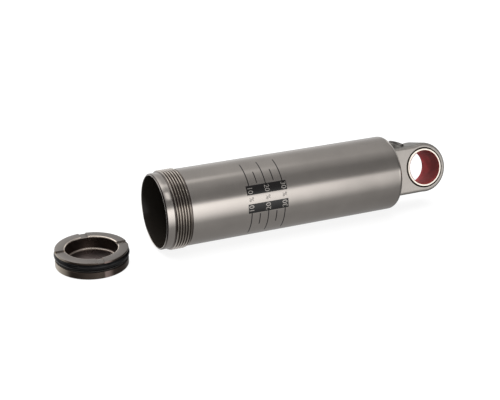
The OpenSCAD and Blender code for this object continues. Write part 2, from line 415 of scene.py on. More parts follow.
def bump(tree, shader, height, depth, strength):
    """Relief from grey noise. The depth is in mm."""
    made = node(
        tree, "ShaderNodeBump", {"Height": height, "Distance": depth * MM, "Strength": strength}
    )
    tree.links.new(made.outputs[0], shader.inputs["Normal"])


def summed(tree, first, second, weight):
    """first + weight * second."""
    return node(
        tree, "ShaderNodeMath", {0: second, 1: weight, 2: first}, operation="MULTIPLY_ADD"
    ).outputs[0]


def turned_metal(name, colour, roughness, axis, line_scale, spread=0.05, anisotropy=0.4):
    """Metal off a lathe: fine lines round its axis, and cloudy wear over them."""
    material, tree, shader = new_material(name)
    axes, whole = object_axes(tree)
    fine = lines(tree, axes[axis], line_scale)
    clouds = noise(tree, whole, 90)
    shader.inputs["Metallic"].default_value = 1
    shader.inputs["Anisotropic"].default_value = anisotropy
    tree.links.new(tinted(tree, clouds, colour, spread), shader.inputs["Base Color"])
    rough = between(tree, summed(tree, clouds, fine, 0.25), roughness * 0.85, roughness * 1.2)
    tree.links.new(rough, shader.inputs["Roughness"])
    bump(tree, shader, fine, 0.002, 0.4)
    return material, tree, shader


def radial_tangent(tree, shader, axis):
    tangent = node(tree, "ShaderNodeTangent", direction_type="RADIAL", axis=axis)
    tree.links.new(tangent.outputs[0], shader.inputs["Tangent"])


def off_axis(tree, first, second):
    """Distance from an axis, in metres, from the two sockets across it."""
    across = node(tree, "ShaderNodeCombineXYZ", {0: first, 1: second}).outputs[0]
    return node(tree, "ShaderNodeVectorMath", {0: across}, operation="LENGTH").outputs["Value"]


def moved_axes(tree, **settings):
    """Sockets of X, Y and Z after the object's axes are turned or shifted."""
    _, whole = object_axes(tree)
    moved = node(tree, "ShaderNodeMapping", {"Vector": whole, **settings}).outputs[0]
    return node(tree, "ShaderNodeSeparateXYZ", {0: moved}).outputs


def from_bore(tree):
    """Distance from the eyelet bore's axis."""
    axes = moved_axes(tree, Rotation=(BODY_ROLL, 0, 0))
    return off_axis(tree, axes["X"], axes["Z"])


def step_between(tree, value, low, high):
    """0 at low, 1 at high, and a smooth rise between. Both are in mm."""
    return node(
        tree,
        "ShaderNodeMapRange",
        {"Value": value, "From Min": low * MM, "From Max": high * MM},
        interpolation_type="SMOOTHSTEP",
    ).outputs[0]


def product(tree, first, second):
    return node(tree, "ShaderNodeMath", {0: first, 1: second}, operation="MULTIPLY").outputs[0]


def mixed(tree, factor, first, second):
    """From the first colour to the second as the factor goes from 0 to 1."""
    return node(
        tree, "ShaderNodeMix", {0: factor, 6: first, 7: second}, data_type="RGBA"
    ).outputs[2]


def stain(tree, shader, factor, colour):
    """Lays another colour over a material's own where the factor is 1."""
    plain = shader.inputs["Base Color"].links[0].from_socket
    tree.links.new(mixed(tree, factor, plain, (*colour, 1)), shader.inputs["Base Color"])


def anodised_tube():
    """Turned and anodised outside. Painted shade makes it near-black inside and darkens the
    thread's roots and the mouth's bevel; a painted highlight lightens the thread's crests.
    """
    material, tree, shader = turned_metal(
        "tube_hard_anodised", TUBE_GREY, roughness=0.14, axis="X", line_scale=6000, anisotropy=0.35
    )
    radial_tangent(tree, shader, "X")
    axes, _ = object_axes(tree)
    radius = off_axis(tree, axes["Y"], axes["Z"])
    on_thread = product(
        tree,
        step_between(tree, axes["X"], THREAD_X - 0.1, THREAD_X + 0.1),
        step_between(tree, axes["X"], THREAD_END_X + 0.1, THREAD_END_X - 0.1),
    )
    # Painted shade: the thread's roots are darker, as shade falls in the groove.
    in_root = product(tree, on_thread, step_between(tree, radius, CREST_R - 0.2, CREST_R - 0.45))
    # Painted highlight: the thread's crests are lighter than the tube.
    on_crest = product(tree, on_thread, step_between(tree, radius, CREST_R - 0.12, CREST_R - 0.02))
    stain(tree, shader, in_root, THREAD_ROOT_SHADE)
    stain(tree, shader, on_crest, THREAD_CREST_HIGHLIGHT)
    # Painted shade: near-black and not metallic inside the bore, where shade falls.
    inside = product(
        tree,
        step_between(tree, radius, BORE_R + 0.06, BORE_R + 0.02),
        step_between(tree, axes["X"], END_X - 4, END_X - 5),
    )
    stain(tree, shader, inside, BORE_SHADE)
    outside = node(tree, "ShaderNodeMath", {0: 1.0, 1: inside}, operation="SUBTRACT").outputs[0]
    tree.links.new(outside, shader.inputs["Metallic"])
    shader.inputs["Specular IOR Level"].default_value = 0.12
    # Painted shade: a dark line on the mouth's bevel.
    rim_r = PILOT_R - MOUTH_BEVEL
    bevel_x = MOUTH_X + MOUTH_BEVEL
    on_bevel = product(
        tree,
        step_between(tree, radius, rim_r, rim_r + 0.1),
        step_between(tree, axes["X"], bevel_x + 0.08, bevel_x - 0.06),
    )
    stain(tree, shader, on_bevel, MOUTH_BEVEL_SHADE)
    return material


def blasted_eyelet():
    """Bead-blasted, with painted shade round its barrel, in the groove around the bush and beside
    the tube.
    """
    material, tree, shader = new_material("eyelet_bead_blasted")
    axes, whole = object_axes(tree)
    grain = noise(tree, whole, 5200, detail=2)
    clouds = noise(tree, whole, 160)
    shader.inputs["Metallic"].default_value = 1
    mottle = summed(tree, clouds, noise(tree, whole, 1300), 0.5)
    tree.links.new(tinted(tree, mottle, EYELET_GREY, 0.07), shader.inputs["Base Color"])
    tree.links.new(between(tree, clouds, 0.40, 0.50), shader.inputs["Roughness"])
    half = EYE_WIDTH / 2
    body = moved_axes(tree, Rotation=(BODY_ROLL, 0, 0))
    aside = node(tree, "ShaderNodeMath", {0: body["Y"]}, operation="ABSOLUTE").outputs[0]
    # Painted shade: the rounded barrel is darker than the flat faces.
    on_barrel = step_between(tree, aside, half - 0.15, half - 0.55)
    stain(tree, shader, on_barrel, BARREL_SHADE)
    # Painted shade: dark in the narrow groove around the bush.
    gap_edge = BUSH_R + EYE_GAP
    in_gap = step_between(tree, from_bore(tree), gap_edge + 0.05, gap_edge - 0.05)
    stain(tree, shader, in_gap, EYELET_GAP_SHADE)
    # Painted shade: darker just beside the tube's end, which shades it.
    at_root = step_between(tree, axes["X"], END_X + 1.0, END_X + 0.3)
    stain(tree, shader, at_root, NECK_ROOT_SHADE)
    bump(tree, shader, grain, 0.02, 0.5)
    return material


def ground_steel():
    """Ground bright, with painted shade on the edge outside its flat face."""
    material, tree, shader = turned_metal(
        "bush_ground_steel", BUSH_STEEL_WARM, roughness=0.3, axis="Y", line_scale=9000
    )
    # Painted shade: dark on the edge that runs down into the groove.
    on_edge = step_between(tree, from_bore(tree), BUSH_FACE_R + 0.03, BUSH_FACE_R + 0.1)
    stain(tree, shader, on_edge, BUSH_EDGE_SHADE)
    return material


def red_liner():
    """Red polymer that is brighter towards the back of the bore."""
    material, tree, shader = new_material("liner_red_polymer")
    _, whole = object_axes(tree)
    weave = noise(tree, whole, 3000, detail=2)
    clouds = noise(tree, whole, 300)
    body = moved_axes(tree, Rotation=(BODY_ROLL, 0, 0))
    half = BUSH_LENGTH / 2
    deep = tinted(tree, clouds, LINER_DEEP, 0.25)
    near = tinted(tree, clouds, LINER_NEAR, 0.25)
    depth = step_between(tree, body["Y"], -half + 2.0, half)
    tree.links.new(mixed(tree, depth, near, deep), shader.inputs["Base Color"])
    tree.links.new(between(tree, weave, 0.5, 0.65), shader.inputs["Roughness"])
    shader.inputs["Specular IOR Level"].default_value = 0.15
    bump(tree, shader, weave, 0.01, 0.4)
    return material


def gunmetal():
    """Turned outside, with a browned lower land whose upright streaks are partly wear, partly
    painted reflection. Painted shade darkens the recess's wall and floor; painted highlights lie
    on the recess's fillet and rim, on one patch of the land and on the land's left end.
    """
    material, tree, shader = turned_metal(
        "piston_gunmetal", PISTON_GREY, roughness=0.26, axis="Z", line_scale=7000,
        spread=0.08, anisotropy=0.2,
    )
    axes = moved_axes(tree, Location=(-IFP_CENTRE.x * MM, -IFP_CENTRE.y * MM, -BENCH_Z * MM))
    radius = off_axis(tree, axes["X"], axes["Y"])
    floor_z = IFP_H - IFP_RECESS_DEPTH
    below_rim = step_between(tree, axes["Z"], IFP_H - 0.1, IFP_H - 0.2)
    on_land = product(tree, below_rim, step_between(tree, radius, IFP_R - 0.5, IFP_R - 0.2))
    _, whole = object_axes(tree)
    # Upright streaks on the lower land: partly wear, partly painted reflections.
    upright = noise(tree, whole, 90, detail=2, stretch=(1, 1, 0.01))
    streaks = tinted(tree, upright, LAND_BROWN, 0.4)
    # Painted highlight: one lighter patch on the front of the lower land.
    highlight_patch = product(
        tree,
        step_between(tree, axes["X"], HIGHLIGHT_FROM, HIGHLIGHT_FROM + 0.8),
        step_between(tree, axes["X"], HIGHLIGHT_TO, HIGHLIGHT_TO - 2.4),
    )
    highlight_patch = product(tree, highlight_patch, step_between(tree, axes["Y"], 0, -1))
    land = mixed(tree, highlight_patch, streaks, (*LAND_HIGHLIGHT, 1))
    # Painted light: the land's left end is lighter.
    left_light = step_between(tree, axes["X"], -IFP_R * 0.75, -IFP_R)
    land = mixed(tree, left_light, land, (*LAND_LEFT_LIGHT, 1))
    plain = shader.inputs["Base Color"].links[0].from_socket
    tree.links.new(mixed(tree, on_land, plain, land), shader.inputs["Base Color"])
    # Painted shade: the recess's wall is dark.
    in_recess = step_between(tree, radius, IFP_RECESS_R + 0.04, IFP_RECESS_R + 0.01)
    above_fillet = step_between(tree, axes["Z"], floor_z + 0.42, floor_z + 0.5)
    stain(tree, shader, product(tree, in_recess, above_fillet), RECESS_SIDE_SHADE)
    # Painted shade: the recess's floor is a little darker.
    inside_fillet = step_between(tree, radius, IFP_RECESS_R - 0.42, IFP_RECESS_R - 0.55)
    low_down = step_between(tree, axes["Z"], floor_z + 0.3, floor_z + 0.1)
    stain(tree, shader, product(tree, inside_fillet, low_down), RECESS_BASE_SHADE)
    # Painted highlight: a light ring on the fillet at the foot of the recess.
    on_fillet = product(
        tree,
        step_between(tree, radius, IFP_RECESS_R - 0.62, IFP_RECESS_R - 0.4),
        step_between(tree, axes["Z"], floor_z + 0.55, floor_z + 0.4),
    )
    on_fillet = product(tree, on_fillet, in_recess)
    stain(tree, shader, on_fillet, FILLET_HIGHLIGHT)
    # Painted highlight: a light ring on the rounded upper edge of the recess.
    rim_r = IFP_RECESS_R + IFP_RIM_R
    rim_z = IFP_H - IFP_RIM_R
    on_rim = product(
        tree,
        step_between(tree, radius, rim_r + 0.05, rim_r - 0.05),
        step_between(tree, axes["Z"], rim_z - 0.1, rim_z + 0.05),
    )
    stain(tree, shader, on_rim, RIM_HIGHLIGHT)
    return material


def greased_rubber():
    material, tree, shader = new_material("seal_rubber_greased")
    _, whole = object_axes(tree)
    smear = noise(tree, whole, 500)
    tree.links.new(tinted(tree, smear, RUBBER_BLACK, 0.3), shader.inputs["Base Color"])
    tree.links.new(between(tree, smear, 0.12, 0.32), shader.inputs["Roughness"])
    shader.inputs["Specular IOR Level"].default_value = 0.2
    bump(tree, shader, smear, 0.03, 0.3)
    return material


def filled_polymer(name, colour, roughness):
    """Moulded polymer with fine flecks of filler."""
    material, tree, shader = new_material(name)
    _, whole = object_axes(tree)
    fleck = noise(tree, whole, 4000, detail=2)
    tree.links.new(tinted(tree, fleck, colour, 0.2), shader.inputs["Base Color"])
    rough = between(tree, fleck, roughness * 0.8, roughness * 1.2)
    tree.links.new(rough, shader.inputs["Roughness"])
    bump(tree, shader, fleck, 0.005, 0.4)
    return material


def printed(name, colour, roughness, metallic=0):
    """Thin printed ink, faintly speckled."""
    material, tree, shader = new_material(name)
    _, whole = object_axes(tree)
    speck = noise(tree, whole, 6000, detail=2)
    tree.links.new(tinted(tree, speck, colour, 0.2), shader.inputs["Base Color"])
    rough = between(tree, speck, roughness * 0.85, roughness * 1.15)
    tree.links.new(rough, shader.inputs["Roughness"])
    shader.inputs["Metallic"].default_value = metallic
    shader.inputs["Specular IOR Level"].default_value = 0.5
    bump(tree, shader, speck, 0.003, 0.3)
    return material


TUBE_METAL = anodised_tube()
EYELET_METAL = blasted_eyelet()
BUSH_STEEL = ground_steel()
LINER_RED = red_liner()
GUNMETAL = gunmetal()
RUBBER = greased_rubber()
BACKUP = filled_polymer("backup_ring_polymer", BACKUP_BROWN, roughness=0.6)
GASKET = filled_polymer("core_gasket_polymer", GASKET_RED, roughness=0.4)
INK = printed("scale_ink_black", INK_BLACK, roughness=0.2)
PALE_INK = printed("scale_ink_silver", INK_SILVER, roughness=0.3, metallic=0.9)
BRASS = turned_metal("valve_turned_brass", BRASS_YELLOW, 0.25, "Z", line_scale=12000)[0]
SPRING_WIRE = turned_metal("valve_spring_wire", WIRE_GREY, 0.2, "Z", line_scale=20000)[0]
CAP_METAL = turned_metal("cap_black_anodised", CAP_GREY, 0.4, "Z", line_scale=12000)[0]

# ---------------------------------------------------------------- damper tube


def thread_rings():
    """Closely spaced points along the threaded stretch, ready for the groove."""
    rings_per_turn = 16
    count = round((THREAD_END_X - THREAD_X) / THREAD_PITCH * rings_per_turn)
    step = (THREAD_END_X - THREAD_X) / count
    return [(THREAD_X + i * step, CREST_R) for i in range(count)]


def tube_outline():
    """Section of the whole tube, from the bore at its mouth round the outside to the chamber."""
    edge = 0.05
    chamfer = 0.3
    rim_r = PILOT_R - MOUTH_BEVEL
    lead = [
        (MOUTH_X + BORE_LEAD_IN, BORE_R),
        (MOUTH_X + edge, BORE_R + 0.08),
        (MOUTH_X, BORE_R + 0.11),
        (MOUTH_X, rim_r - edge),
        (MOUTH_X + edge, rim_r + edge / 2),
        (MOUTH_X + MOUTH_BEVEL - edge, PILOT_R - edge / 2),
        (MOUTH_X + MOUTH_BEVEL + edge, PILOT_R),
        (THREAD_X - edge, PILOT_R),
    ]
    barrel_rings = 24
    barrel_end = END_X - SHOULDER_R
    barrel = [
        (THREAD_END_X + (barrel_end - THREAD_END_X) * i / barrel_rings, TUBE_R)
        for i in range(barrel_rings)
    ]
    shoulder = arc(barrel_end, TUBE_R - SHOULDER_R, SHOULDER_R, 90, 0, 14)
    socket = [
        (END_X, STUD_R + FIT_GAP + chamfer),
        (END_X - chamfer, STUD_R + FIT_GAP),
        (END_X - STUD_LENGTH, STUD_R + FIT_GAP),
        (END_X - STUD_LENGTH, NOSE_R + FIT_GAP),
        (CHAMBER_X, NOSE_R + FIT_GAP),
    ]
    corner_r = 0.4
    chamber = arc(CHAMBER_X - corner_r, BORE_R - corner_r, corner_r, 0, 90, 5)
    return lead + thread_rings() + barrel + shoulder + socket + chamber


def thread_radius(x, turn):
    """Radius at a place along X and a turn about it, with the thread's lead-in and run-out."""
    flank_top, flank_root = 0.43 * THREAD_PITCH, 0.06 * THREAD_PITCH
    relief_depth, relief_start, relief_end = 0.22, 0.25, 0.2
    phase = (x - FIRST_GROOVE_X) / THREAD_PITCH - (turn - GROOVE_SEEN_AT) / math.tau
    off = abs(phase - round(phase)) * THREAD_PITCH
    depth = min(1, max(0, (flank_top - off) / (flank_top - flank_root)))
    rounded = depth * depth * (3 - 2 * depth)
    groove = CREST_R - THREAD_DEPTH * (depth + rounded) / 2
    ramp = PILOT_R + (CREST_R - PILOT_R) * (x - THREAD_X) / THREAD_LEAD_IN
    into = min(1, max(0, (x - RUN_OUT_X) / relief_start))
    out = min(1, max(0, (THREAD_END_X - x) / relief_end))
    relief_r = TUBE_R - relief_depth * out
    relief = CREST_R - (CREST_R - relief_r) * into
    return min(groove, ramp, relief)


def cut_thread(tube):
    """Draws the rings of the threaded stretch in, so that a helical groove runs through them."""
    for vertex in tube.data.vertices:
        x, y, z = vertex.co / MM
        radius = math.hypot(y, z)
        if THREAD_X - 1e-4 < x < THREAD_END_X - 1e-4 and radius > PILOT_R:
            ratio = thread_radius(x, math.atan2(z, y)) / radius
            vertex.co.y *= ratio
            vertex.co.z *= ratio


def make_tube():
    """The tube with its bore, thread and closed end."""
    tube = turned("tube", tube_outline(), steps=256)
    cut_thread(tube)
    smooth(tube)
    dress(tube, TUBE_METAL, "root", "tube_anodised", "damper_tube")


make_tube()

# ---------------------------------------------------------------- eyelet


def eyelet_blank():
    """Neck and round end: an outline pulled out to its width, with its long edges rounded.

    Its root is cut flat where it meets the tube."""
    root_x = END_X - 3
    top = math.degrees(math.asin(NECK_TOP / EYE_R))
    bottom = math.degrees(math.asin(NECK_BOTTOM / EYE_R))
    end_round = arc(0, 0, EYE_R, -180 + bottom, 180 - top, 120)
    side = [(root_x, -NECK_BOTTOM), *end_round, (root_x, NECK_TOP)]
    blank = loop_of("eyelet_body", [(x, -EYE_WIDTH / 2, z) for x, z in side])
    bpy.ops.object.mode_set(mode="EDIT")
    bpy.ops.mesh.select_all(action="SELECT")
    bpy.ops.mesh.edge_face_add()
    bpy.ops.mesh.extrude_region_move(TRANSFORM_OT_translate={"value": (0, EYE_WIDTH * MM, 0)})
    bpy.ops.mesh.select_all(action="SELECT")
    bpy.ops.mesh.normals_make_consistent(inside=False)
    bpy.ops.object.mode_set(mode="OBJECT")
    select_edges(blank, lambda a, b: abs(a.y - b.y) < 1e-6)
    bpy.ops.mesh.bevel(offset=EYE_EDGE_R * MM, segments=8, profile=0.5)
    bpy.ops.mesh.select_all(action="SELECT")
    bpy.ops.mesh.bisect(
        plane_co=(END_X * MM, 0, 0), plane_no=(1, 0, 0), clear_inner=True, use_fill=True
    )
    bpy.ops.mesh.select_mode(type="VERT")
    bpy.ops.object.mode_set(mode="OBJECT")
    place(blank, on_body())
    return blank


def stud():
    """The end that goes into the tube, with the groove for its seal ring."""
    chamfer = 0.3
    thread_start = END_X - STUD_LENGTH
    nose_x = CHAMBER_X + 0.1
    groove_x = CHAMBER_X + 1.7
    groove_half = 0.8
    groove_r = NOSE_R - 1.25
    return turned("stud", [
        (END_X + 2, 0), (END_X + 2, STUD_R), (thread_start, STUD_R), (thread_start, NOSE_R),
        (groove_x + groove_half, NOSE_R), (groove_x + groove_half, groove_r),
        (groove_x - groove_half, groove_r), (groove_x - groove_half, NOSE_R),
        (nose_x + chamfer, NOSE_R), (nose_x, NOSE_R - chamfer), (nose_x, 0),
    ], steps=128)


def boss():
    """The valve's boss, long enough to root in the neck."""
    length, edge = 6, 0.18
    return turned("boss", [
        (-length, 0), (-length, BOSS_R), (-edge, BOSS_R),
        *arc(-edge, BOSS_R - edge, edge, 90, 0, 4)[1:], (0, 0),
    ], steps=96)


def bore_cutter():
    """The eyelet's bore, opened out at both faces into a narrow groove around the bush."""
    half, past, edge = EYE_WIDTH / 2, 1.0, 0.1
    mouth = [
        (-half - past, BUSH_R + EYE_GAP + edge + past), (-half + edge, BUSH_R + EYE_GAP),
        (-half + EYE_GAP_DEPTH, BUSH_R + EYE_GAP / 2), (-half + EYE_GAP_DEPTH, BUSH_R),
    ]
    far_mouth = [(-x, r) for x, r in reversed(mouth)]
    return turned(
        "bore_cutter", [(-half - past, 0), *mouth, *far_mouth, (half + past, 0)], steps=160
    )


def port_cutter():
    """The valve port, and the space over its flat face."""
    taper_foot, taper_top = PORT_TAPER
    past, skin = 5, 0.001
    return turned("port_cutter", [
        (-PORT_DEPTH, 0), (-PORT_DEPTH, PORT_WELL_R), (-taper_foot, PORT_WELL_R),
        (-taper_top, CORE_BORE_R), (-CAP_BORE_DEPTH, CORE_BORE_R), (-CAP_BORE_DEPTH, CAP_BORE_R),
        (-skin, CAP_BORE_R), (-skin, CAP_BORE_R + 0.01), (0.0, PORT_FACE_R), (past, PORT_FACE_R),
        (past, 0),
    ], steps=96)


def passage_cutter():
    """The gas way from the valve port into the chamber."""
    start_x = CHAMBER_X - 1
    return turned("passage_cutter", [
        (start_x, 0), (start_x, PASSAGE_R), (PASSAGE_END_X, PASSAGE_R), (PASSAGE_END_X, 0),
    ], steps=48)


def make_eyelet():
    """Neck, boss and stud in one, with the bore, the valve port and the gas way cut in."""
    eyelet = eyelet_blank()
    knob = boss()
    place(knob, in_port())
    combine(eyelet, knob, "UNION")
    combine(eyelet, stud(), "UNION")
    for cutter, matrix in ((bore_cutter, about_bore()), (port_cutter, in_port()),
                           (passage_cutter, Matrix.Identity(4))):
        tool = cutter()
        place(tool, matrix)
        combine(eyelet, tool, "DIFFERENCE")
    smooth(eyelet)
    dress(eyelet, EYELET_METAL, "root", "eyelet_satin", "eyelet")


make_eyelet()

# ---------------------------------------------------------------- bush


def make_bush():
    """A steel shell, and a red liner set just inside its faces."""
    half, edge = BUSH_LENGTH / 2, 0.06
    near = [
        (-half, LINER_R), (-half, BUSH_FACE_R - edge), (-half + edge, BUSH_FACE_R),
        (-half + EYE_GAP_DEPTH, BUSH_R),
    ]
    shell = turned("bush_ring", near + [(-x, r) for x, r in reversed(near)], steps=160)
    place(shell, about_bore())
    smooth(shell)
    dress(shell, BUSH_STEEL, "root", "bush_steel", "bush_shell")
    set_back = half - 0.03
    liner = turned("bush_lining", [
        (-set_back, LINER_R), (-set_back, BUSH_BORE_R + edge), (-set_back + edge, BUSH_BORE_R),
        (set_back - edge, BUSH_BORE_R), (set_back, BUSH_BORE_R + edge), (set_back, LINER_R),
    ], steps=160)
    place(liner, about_bore())
    smooth(liner)
    dress(liner, LINER_RED, "root", "liner_red", "bush_liner")


make_bush()

# ---------------------------------------------------------------- valve cap


def make_cap():
    """A round head with a six-sided socket, on a plug that has a ring groove under the head."""
    edge = 0.14
    plug_foot, groove_foot = -2.0, -0.9
    plug_r, plug_edge_r, groove_r = 2.62, 2.4, 1.95
    cap = turned("cap", [
        (plug_foot, 0), (plug_foot, plug_edge_r), (plug_foot + 0.2, plug_r),
        (groove_foot - 0.15, plug_r), (groove_foot, plug_edge_r), (groove_foot, groove_r),
        (0, groove_r), (0.0, CAP_HEAD_R - edge), (edge, CAP_HEAD_R),
        *arc(CAP_HEAD_H - edge, CAP_HEAD_R - edge, edge, 90, 0, 4), (CAP_HEAD_H, 0),
    ], steps=96)
    bpy.ops.object.select_all(action="DESELECT")
    bpy.ops.mesh.primitive_cylinder_add(
        vertices=6, radius=CAP_SOCKET_HALF * MM / math.cos(math.pi / 6),
        depth=2 * CAP_SOCKET_DEPTH * MM,
        location=(CAP_HEAD_H * MM, 0, 0), rotation=(0, math.pi / 2, 0),
    )
    socket = bpy.context.object
    bpy.ops.object.transform_apply(location=True, rotation=True, scale=True)
    combine(cap, socket, "DIFFERENCE")
    place(cap, in_port())
    smooth(cap)
    dress(cap, CAP_METAL, "valve_cap", "cap_black", "valve_cap")


make_cap()

# ---------------------------------------------------------------- valve core's spring


def make_spring():
    """A wire coil round the pin.

    It moves with the pin."""
    length = SPRING_FOOT - SPRING_TOP
    rise = (length - 2 * SPRING_WIRE_R) / SPRING_TURNS
    bpy.ops.object.select_all(action="DESELECT")
    bpy.ops.mesh.primitive_circle_add(
        vertices=10, radius=SPRING_WIRE_R * MM,
        location=(SPRING_R * MM, 0, 0), rotation=(math.pi / 2, 0, 0),
    )
    spring = bpy.context.object
    bpy.ops.object.transform_apply(location=True, rotation=True, scale=True)
    spring.name = "core_spring"
    spring.data.name = "core_spring"
    apply_modifier(
        spring, "SCREW",
        angle=math.tau, iterations=SPRING_TURNS, screw_offset=rise * MM, steps=24,
    )
    bpy.ops.object.mode_set(mode="EDIT")
    bpy.ops.mesh.select_all(action="SELECT")
    bpy.ops.mesh.fill_holes(sides=0)
    bpy.ops.mesh.normals_make_consistent(inside=False)
    bpy.ops.object.mode_set(mode="OBJECT")
    foot = Matrix.Translation(((SPRING_WIRE_R - SPRING_FOOT) * MM, 0, 0))
    place(spring, in_port() @ foot @ Matrix.Rotation(math.pi / 2, 4, "Y"))
    smooth(spring)
    dress(spring, SPRING_WIRE, "valve_pin", "valve_spring_steel", "valve_core_spring")
    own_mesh(spring)


make_spring()

# ---------------------------------------------------------------- floating piston


def ifp_outline():
    """Section from the middle of its base, up the outside and down into the recess."""
    edge, fillet, lip = 0.16, 0.5, 0.08
    floor_x = IFP_H - IFP_RECESS_DEPTH
    groove_top = RING_GROOVE_LOW + RING_GROOVE_W
    foot = [(0, 0), (0, IFP_R - 0.35), (0.06, IFP_R - 0.12), (0.25, IFP_R)]
    return [
        *foot, (RING_GROOVE_LOW - lip, IFP_R), (RING_GROOVE_LOW, IFP_R - lip),
        (RING_GROOVE_LOW, RING_GROOVE_R), (groove_top, RING_GROOVE_R),
        (groove_top, IFP_R - lip), (groove_top + lip, IFP_R),
        *arc(IFP_H - edge, IFP_R - edge, edge, 90, 0, 5),
        *arc(IFP_H - IFP_RIM_R, IFP_RECESS_R + IFP_RIM_R, IFP_RIM_R, 0, -90, 8),
        *arc(floor_x + fillet, IFP_RECESS_R - fillet, fillet, 90, 180, 8),
        (floor_x, 0),
    ]


def make_ifp():
    """The piston with its ring groove and deep recess, and four slots across its rim."""
    slot_size = (2 * IFP_SLOT_DEPTH * MM, IFP_SLOT_LENGTH * MM, IFP_SLOT_W * MM, 1)
    piston = turned("floating_piston_body", ifp_outline(), steps=224)
    for quarter in range(4):
        bpy.ops.object.select_all(action="DESELECT")
        bpy.ops.mesh.primitive_cube_add(size=1)
        slot_tool = bpy.context.object
        place(slot_tool, Matrix.Rotation(quarter * math.pi / 2, 4, "X")
              @ Matrix.Translation((IFP_H * MM, IFP_SLOT_MIDDLE_R * MM, 0))
              @ Matrix.Diagonal(slot_size))
        combine(piston, slot_tool, "DIFFERENCE")
    place(piston, at_ifp())
    smooth(piston)
    dress(piston, GUNMETAL, "floating_piston", "piston_gunmetal", "ifp_piston")


def seal(name, centre_x, centre_r, wire_r, matrix, steps):
    """A rubber ring, with the fine moulding line that runs round its outside."""
    section = arc(0, 0, wire_r, 84, -264, 40)
    line = [(0, wire_r * 1.02)]
    ring = turned(name, [(centre_x + x, centre_r + r) for x, r in section + line], steps)
    place(ring, matrix)
    smooth(ring, 60)
    return ring


def make_ifp_rings():
    """The rubber ring at the top of the groove and the thin backup ring at its foot."""
    ring_x = RING_GROOVE_LOW + RING_GROOVE_W - RING_WIRE_R
    ring_r = RING_GROOVE_R + RING_WIRE_R
    ring = seal("floating_piston_ring", ring_x, ring_r, RING_WIRE_R, at_ifp(), 224)
    dress(ring, RUBBER, "floating_piston", "seal_rubber", "ifp_o_ring")
    low, high, outer = RING_GROOVE_LOW, RING_GROOVE_LOW + BACKUP_T, IFP_R - 0.1
    slope_x, slope_r, edge = 0.32, 0.45, 0.06
    backup = turned("floating_piston_backup", [
        (low, RING_GROOVE_R), (low, outer - slope_r), (low + slope_x - edge, outer - 0.04),
        (low + slope_x, outer), (high - edge, outer), (high, outer - edge), (high, RING_GROOVE_R),
    ], steps=224)
    place(backup, at_ifp())
    smooth(backup)
    dress(backup, BACKUP, "floating_piston", "backup_ptfe", "ifp_backup_ring")


make_ifp()
make_ifp_rings()

# ---------------------------------------------------------------- sag scale print


def wrap(obj, lift):
    """Lays a flat print, whose X runs along the tube and Y up round it, on the tube's surface."""
    radius = (TUBE_R + lift) * MM
    for vertex in obj.data.vertices:
        x, up, _ = vertex.co
        angle = SCALE_ANGLE + up / radius
        vertex.co = (x, -radius * math.cos(angle), radius * math.sin(angle))


def patch(x, up, width, height):
    """A flat rectangle of print, finely divided round the tube."""
    bpy.ops.object.select_all(action="DESELECT")
    bpy.ops.mesh.primitive_grid_add(
        x_subdivisions=2, y_subdivisions=max(2, round(height * 4)), size=1
    )
    obj = bpy.context.object
    size = Matrix.Diagonal((width * MM, height * MM, 1, 1))
    place(obj, Matrix.Translation((x * MM, up * MM, 0)) @ size)
    return obj


def lettering(words, x, up, quarter_turns, height, boldness=0):
    """Generic figures, turned so that they read round the tube."""
    height_of_size = 0.7                 # a figure's height, as a share of the letter size
    bpy.ops.object.select_all(action="DESELECT")
    bpy.ops.object.text_add()
    text = bpy.context.object
    text.data.body = words
    text.data.align_x = "CENTER"
    text.data.align_y = "CENTER"
    text.data.size = height / height_of_size * MM
    text.data.offset = boldness * text.data.size
    text.data.resolution_u = 4
    bpy.ops.object.convert(target="MESH")
    obj = bpy.context.object
    bpy.ops.object.mode_set(mode="EDIT")
    bpy.ops.mesh.select_all(action="SELECT")
    bpy.ops.mesh.remove_doubles(threshold=1e-8)
    bpy.ops.mesh.subdivide(number_cuts=1)
    bpy.ops.object.mode_set(mode="OBJECT")
    turn = Matrix.Rotation(quarter_turns * math.pi / 2, 4, "Z")
    place(obj, Matrix.Translation((x * MM, up * MM, 0)) @ turn)
    return obj


def joined(name, parts):
    """One object of all the parts."""
    bpy.ops.object.select_all(action="DESELECT")
    for part in parts:
        part.select_set(True)
    bpy.context.view_layer.objects.active = parts[0]
    bpy.ops.object.join()
    whole = bpy.context.object
    whole.name = name
    whole.data.name = name
    return whole


def print_on_tube(name, parts, lift, material, slot):
    """Lays the parts of a print on the tube as one thin layer of ink."""
    whole = joined(name, parts)
    wrap(whole, lift)
    whole.data.update()
    apply_modifier(whole, "SOLIDIFY", thickness=PRINT_THICKNESS * MM, offset=-1)
    smooth(whole, 20)
    dress(whole, material, "root", slot)


